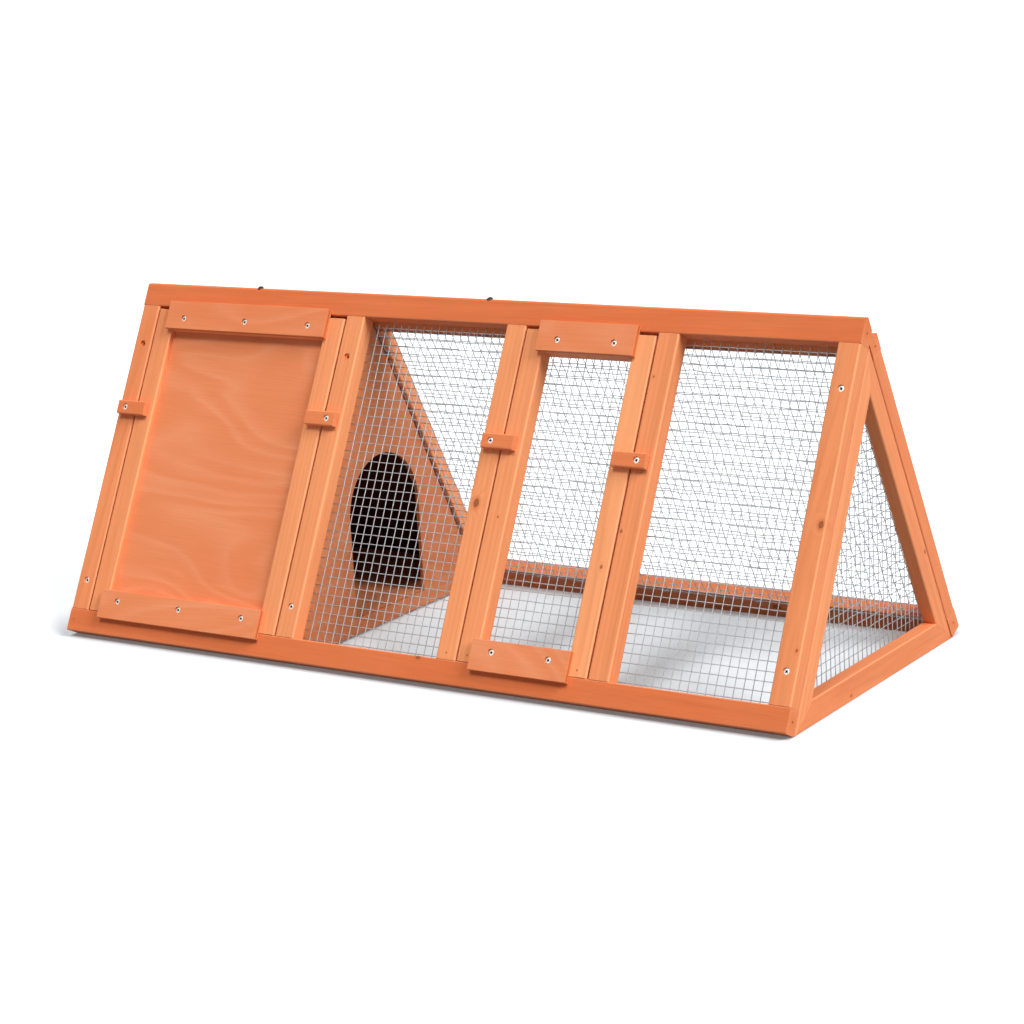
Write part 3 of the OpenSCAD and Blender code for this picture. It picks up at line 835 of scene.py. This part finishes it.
# Doors
door_groove = groove_round("house_door_panel", front_axes)
for side in ("left", "right"):
    board(f"house_door_{side}_stile", front_axes, 1, stile_round, cutters=[door_groove])
    board(f"run_door_{side}_stile", front_axes, 1, stile_round)
for height in ("top", "bottom"):
    board(f"house_door_{height}_rail", front_axes, 0, rail_round, cutters=[door_groove])
    board(f"run_door_{height}_rail", front_axes, 0, rail_round)
    for door in ("house_door", "run_door"):
        node = f"{door}_{height}_batten"
        screws = screw_axes(door + "_screws", front_axes)
        board(node, front_axes, 0, batten_round, cutters=seats(node, front_axes, screws),
              slot="stained_plywood")
board("house_door_panel", front_axes, 0, sheet_round, slot="stained_plywood")

# Turn buttons
buttons = ("house_left_button", "house_right_button", "run_left_button", "run_right_button")
for node, pivot in zip(buttons, screw_axes("pivot_screws", front_axes)):
    place = front_axes @ Vector((pivot.x, pivot.y, 0))
    board(node, front_axes, 0, button_round,
          cutters=[hole(place, front_out, hole_d, button_hole_l), seat(front_axes, pivot)])


# Screws

def saw_tip(shank):
    """Draws the shank's lower end in to a point"""
    only(shank)
    pick_faces(shank, lambda face: face.normal.z < -0.9)
    bpy.ops.transform.translate(value=(0, 0, tip_l))
    bpy.ops.mesh.extrude_region_move(TRANSFORM_OT_translate={"value": (0, 0, -tip_l)})
    bpy.ops.transform.resize(value=(tip_share, tip_share, 1))
    bpy.ops.object.mode_set(mode="OBJECT")


def screw_pattern(length, tall):
    """A screw that stands at the origin on its head's underside, its shank pointing down"""
    domed = tall > flat_head_h
    rim = head_rim if domed else tall
    bpy.ops.object.select_all(action="DESELECT")
    bpy.ops.mesh.primitive_cylinder_add(
        vertices=32, radius=head_d / 2, depth=rim, location=(0, 0, rim / 2))
    head = bpy.context.object
    settle()
    if domed:
        pick_faces(head, lambda face: face.normal.z > 0.9)
        # The dome rises in rings, each further in and less steep than the last
        angles = [math.radians(90) * k / dome_rings for k in range(dome_rings)]
        for a, b in zip(angles, angles[1:]):
            inwards = (math.cos(a) - math.cos(b)) * head_d / 2
            rise = (math.sin(b) - math.sin(a)) * (tall - rim)
            bpy.ops.mesh.inset(thickness=inwards, depth=0)
            bpy.ops.transform.translate(value=(0, 0, rise))
        bpy.ops.object.mode_set(mode="OBJECT")
    else:
        use_modifier(head, "BEVEL", width=head_round, segments=2, limit_method="ANGLE")
    for turn in (0, math.pi / 2):
        bpy.ops.object.select_all(action="DESELECT")
        bpy.ops.mesh.primitive_cube_add(
            size=1, location=(0, 0, tall), rotation=(0, 0, turn),
            scale=(recess_l, recess_w, 2 * recess_depth))
        arm = bpy.context.object
        settle()
        carve(head, arm)
    # The arms meet in a pit that narrows downwards
    bpy.ops.object.select_all(action="DESELECT")
    bpy.ops.mesh.primitive_cone_add(
        vertices=20, radius1=pit_foot_d / 2, radius2=pit_d / 2, depth=tall,
        location=(0, 0, tall / 2 + pit_floor))
    pit = bpy.context.object
    settle()
    carve(head, pit)
    # Painted shade darkens the recess's walls and floor, and not the head's flat top
    painted_shade = []
    for face in head.data.polygons:
        middle = face.center
        inside = math.hypot(middle.x, middle.y) < recess_l / 2 + 0.1 * mm
        sunk = abs(face.normal.z) < 0.8 or 0.2 * mm < middle.z < tall - 0.5 * mm
        painted_shade.append(1.0 if inside and sunk else 0.0)
    store(head, "recess", "FLOAT", "FACE", painted_shade)
    only(head)
    bpy.ops.object.shade_smooth_by_angle(angle=math.radians(35))
    shank = rod("shank", Vector((0, 0, -length / 2)), Vector((0, 0, 1)), screw_d, length, 16)
    saw_tip(shank)
    join([head, shank])
    return head


def drive(node, axes, tall=flat_head_h, slot="zinc_screws"):
    """Puts a screw at each of a node's places"""
    low, high = extent(local_points(node, axes))
    pattern = screw_pattern(high.z - low.z - tall, tall)
    rng = random.Random(node)
    copies = []
    for spot in screw_axes(node, axes):
        foot = Matrix.Translation(spot - Vector((0, 0, tall)))
        turned = Matrix.Rotation(rng.uniform(0, math.pi), 4, "Z")
        copies.append(stamp(pattern, axes @ foot @ turned))
    bpy.data.objects.remove(pattern)
    join(copies)
    piece = copies[0]
    piece.name = node + "_steel"
    fit(piece, node, slot)


for node in ("front_panel_screws", "house_door_screws", "run_door_screws", "pivot_screws"):
    drive(node, front_axes)
drive("back_panel_screws", back_axes)
drive("ridge_screws", ridge_axes, domed_head_h, "browned_steel")


# Welded wire

def parallel_wires(axes, low, high, run, depth):
    """Wires that fill a rectangle, all along one axis: one wire in short lengths, and copies"""
    step = 1 - run
    length = high[run] - low[run]
    count = int((high[step] - low[step]) / mesh_pitch) + 1
    spare = (high[step] - low[step] - (count - 1) * mesh_pitch) / 2
    start = Vector((0, 0, depth))
    start[run] = (low[run] + high[run]) / 2
    start[step] = low[step] + spare
    turned = axes.to_3x3()
    wire = rod("wires", axes @ start, turned.col[run].normalized(), wire_d, length, 6)
    points = wire.data.vertices
    pick_edges(wire, lambda edge: (
        points[edge.vertices[0]].co - points[edge.vertices[1]].co).length > length / 2)
    cuts_per_opening = 1.5
    bpy.ops.mesh.subdivide(number_cuts=int(length / mesh_pitch * cuts_per_opening))
    bpy.ops.object.mode_set(mode="OBJECT")
    use_modifier(wire, "ARRAY", count=count, use_relative_offset=False, use_constant_offset=True,
                 constant_offset_displace=turned.col[step].normalized() * mesh_pitch)
    return wire


def add_staples(net, node, axes, corners, depth):
    """Joins staples to a net, all along its rim. Their legs stand in the boards"""
    half_w = staple_wire_w / 2
    crown = block("staple", level_axes, Vector((-staple_w / 2, -half_w, -staple_wire_t)),
                  Vector((staple_w / 2, half_w, 0)))
    for side in (-staple_w / 2, staple_w / 2):
        leg = block("staple_leg", level_axes,
                    Vector((side - staple_wire_t / 2, -half_w, -staple_wire_t)),
                    Vector((side + staple_wire_t / 2, half_w, staple_leg_l)))
        carve(crown, leg, "UNION")
    use_modifier(crown, "BEVEL", width=staple_round, segments=1)
    rng = random.Random(node + "_staples")
    staples = []
    for a, b in zip(corners, corners[1:] + corners[:1]):
        along = (b - a).normalized()
        inwards = Vector((-along.y, along.x, 0))
        count = max(2, round((b - a).length / staple_step))
        for k in range(count):
            spot = a + (b - a) * (k + 0.5) / count + inwards * staple_inset
            spot += along * rng.uniform(-6, 6) * mm
            spot.z = depth
            turn = math.atan2(along.y, along.x) + rng.uniform(-0.3, 0.3)
            placing = axes @ Matrix.Translation(spot) @ Matrix.Rotation(turn, 4, "Z")
            staples.append(stamp(crown, placing))
    bpy.data.objects.remove(crown)
    join([net] + staples)


def wire_net(node, axes, slack, cuts=(), outline=()):
    """A welded net in its solid's place: long wires on cross wires, slack between its edges"""
    low, high = extent(local_points(node, axes))
    middle = (low.z + high.z) / 2
    piece = parallel_wires(axes, low, high, 0, middle - weld_offset)
    join([piece, parallel_wires(axes, low, high, 1, middle + weld_offset)])
    for place, outwards in cuts:
        saw(piece, place, outwards)
    # The net is flat along its edges, where it is stapled, and hangs free in the middle
    to_net = axes.inverted()
    group = piece.vertex_groups.new(name="slack")
    for v in piece.data.vertices:
        p = to_net @ v.co
        rim = min(p.x - low.x, high.x - p.x, p.y - low.y, high.y - p.y)
        for place, outwards in cuts:
            rim = min(rim, (place - v.co).dot(outwards))
        freedom = (rim - flat_rim) / (free_rim - flat_rim)
        group.add([v.index], max(0.0, min(1.0, freedom)), "REPLACE")
    for size, strength in ((wave_l, slack), (kink_l, slack * kink_share)):
        cloud = bpy.data.textures.new(node, "CLOUDS")
        cloud.noise_scale = size
        cloud.cloud_type = "COLOR"
        use_modifier(piece, "DISPLACE", texture=cloud, texture_coords="LOCAL",
                     direction="RGB_TO_XYZ", space="LOCAL", strength=strength, mid_level=0.5,
                     vertex_group="slack")
    only(piece)
    bpy.ops.object.shade_smooth()
    corners = outline or [Vector((x, y, 0)) for x, y in (
        (low.x, low.y), (high.x, low.y), (high.x, high.y), (low.x, high.y))]
    add_staples(piece, node, axes, corners, middle - weld_offset - wire_d / 2)
    piece.name = node + "_wire"
    fit(piece, node, "galvanised_wire")


# The end net's own axes: X towards the back, Y up, Z towards the right end
end_axes = Matrix(((0, 0, 1, 0), (1, 0, 0, 0), (0, 1, 0, 0), (0, 0, 0, 1)))

for node in ("front_left_mesh", "front_right_mesh", "run_door_mesh"):
    wire_net(node, front_axes, front_slack)
wire_net("back_mesh", back_axes, back_slack)
end_points = local_points("right_end_mesh", end_axes)
foremost = min(end_points, key=lambda p: p.x)
rearmost = max(end_points, key=lambda p: p.x)
topmost = max(end_points, key=lambda p: p.y)
wire_net("right_end_mesh", end_axes, end_slack,
         cuts=[(end_axes @ foremost, front_out), (end_axes @ rearmost, back_out)],
         outline=[foremost, rearmost, topmost])


# Floor, background, light and camera

def seen(tree):
    """1 for rays that the camera sees, also in a mirror, and 0 for those that only carry light"""
    rays = add(tree, "LightPath", {}, "Is Camera Ray")
    return add(tree, "Math", {0: rays, 1: rays.node.outputs["Is Glossy Ray"]}, operation="MAXIMUM")


def white_ground():
    """Matt white paper that renders white in the open and keeps the object's shadow. Little of
    its light gets back up to the object, so that the boards' undersides stay dark"""
    material, tree, shader = new_material("white_paper", Roughness=0.9)
    place = add(tree, "TexCoord", {}, "Object")
    tooth = add(tree, "TexNoise", {"Vector": place, "Scale": 1 / (3 * mm), "Detail": 2.0}, "Fac")
    colour = mix(tree, tooth, paint("#D8DFE3"), paint("#DBE2E6"))
    visible = seen(tree)
    colour = mix(tree, visible, paint("#8F9294"), colour)
    tree.links.new(colour, shader.inputs["Base Color"])
    # The paper glows away from the object, so that only the shadow close to it shows
    far = add(tree, "VectorMath", {0: place}, operation="ABSOLUTE")
    far = add(tree, "VectorMath", {0: far, 1: cad_box[1]}, operation="SUBTRACT")
    sides = add(tree, "SeparateXYZ", {0: far}, "X")
    beyond = add(tree, "Math", {0: sides, 1: sides.node.outputs["Y"]}, operation="MAXIMUM")
    glow = fade(tree, beyond, 6 * mm, 120 * mm, 0.12, 0.5)
    glow = add(tree, "Math", {0: visible, 1: glow}, operation="MULTIPLY")
    shader.inputs["Emission Color"].default_value = (1, 1, 1, 1)
    tree.links.new(glow, shader.inputs["Emission Strength"])
    return material


bpy.ops.object.select_all(action="DESELECT")
bpy.ops.mesh.primitive_plane_add(size=60)
ground = bpy.context.object
ground.name = "ground"
ground.data.materials.append(white_ground())

world = bpy.context.scene.world or bpy.data.worlds.new("studio")
bpy.context.scene.world = world
world.use_nodes = True
sky = world.node_tree
sky.nodes.clear()
studio = add(sky, "Background", {"Color": paint("#F4F9FF"), "Strength": 0.2})
white = add(sky, "Background", {"Color": (1, 1, 1, 1), "Strength": 1.0})
both = add(sky, "MixShader", {0: seen(sky), 1: studio, 2: white})
output = sky.nodes.new("ShaderNodeOutputWorld")
sky.links.new(both, output.inputs["Surface"])


def soft_sun(name, azimuth, height, strength, spread):
    """A distant soft light. Azimuth 0 shines from the front, 90 from the right end"""
    bpy.ops.object.select_all(action="DESELECT")
    bpy.ops.object.light_add(
        type="SUN", rotation=(math.radians(90 - height), 0, math.radians(azimuth)))
    lamp = bpy.context.object
    lamp.name = name
    lamp.data.energy = strength
    lamp.data.angle = math.radians(spread)


soft_sun("end_light", 90, 42, 3.0, 30)
soft_sun("front_light", 5, 60, 1.72, 18)

# The camera stands in front and to the right, a little above, and is tipped to one side
camera_place = Vector((2.0193, -2.9266, 1.0282))
camera_turn = math.radians(34.45)
camera_dip = math.radians(13.746)
camera_tip = math.radians(-3.339)
bpy.ops.object.camera_add()
camera = bpy.context.object
camera.matrix_world = (
    Matrix.Translation(camera_place)
    @ Matrix.Rotation(camera_turn, 4, "Z")
    @ Matrix.Rotation(math.radians(90) - camera_dip, 4, "X")
    @ Matrix.Rotation(camera_tip, 4, "Z")
)
camera.data.lens = 93.36
camera.data.shift_x = 0.0123
camera.data.shift_y = 0.0122
bpy.context.scene.camera = camera
bpy.context.scene.view_settings.view_transform = "Standard"
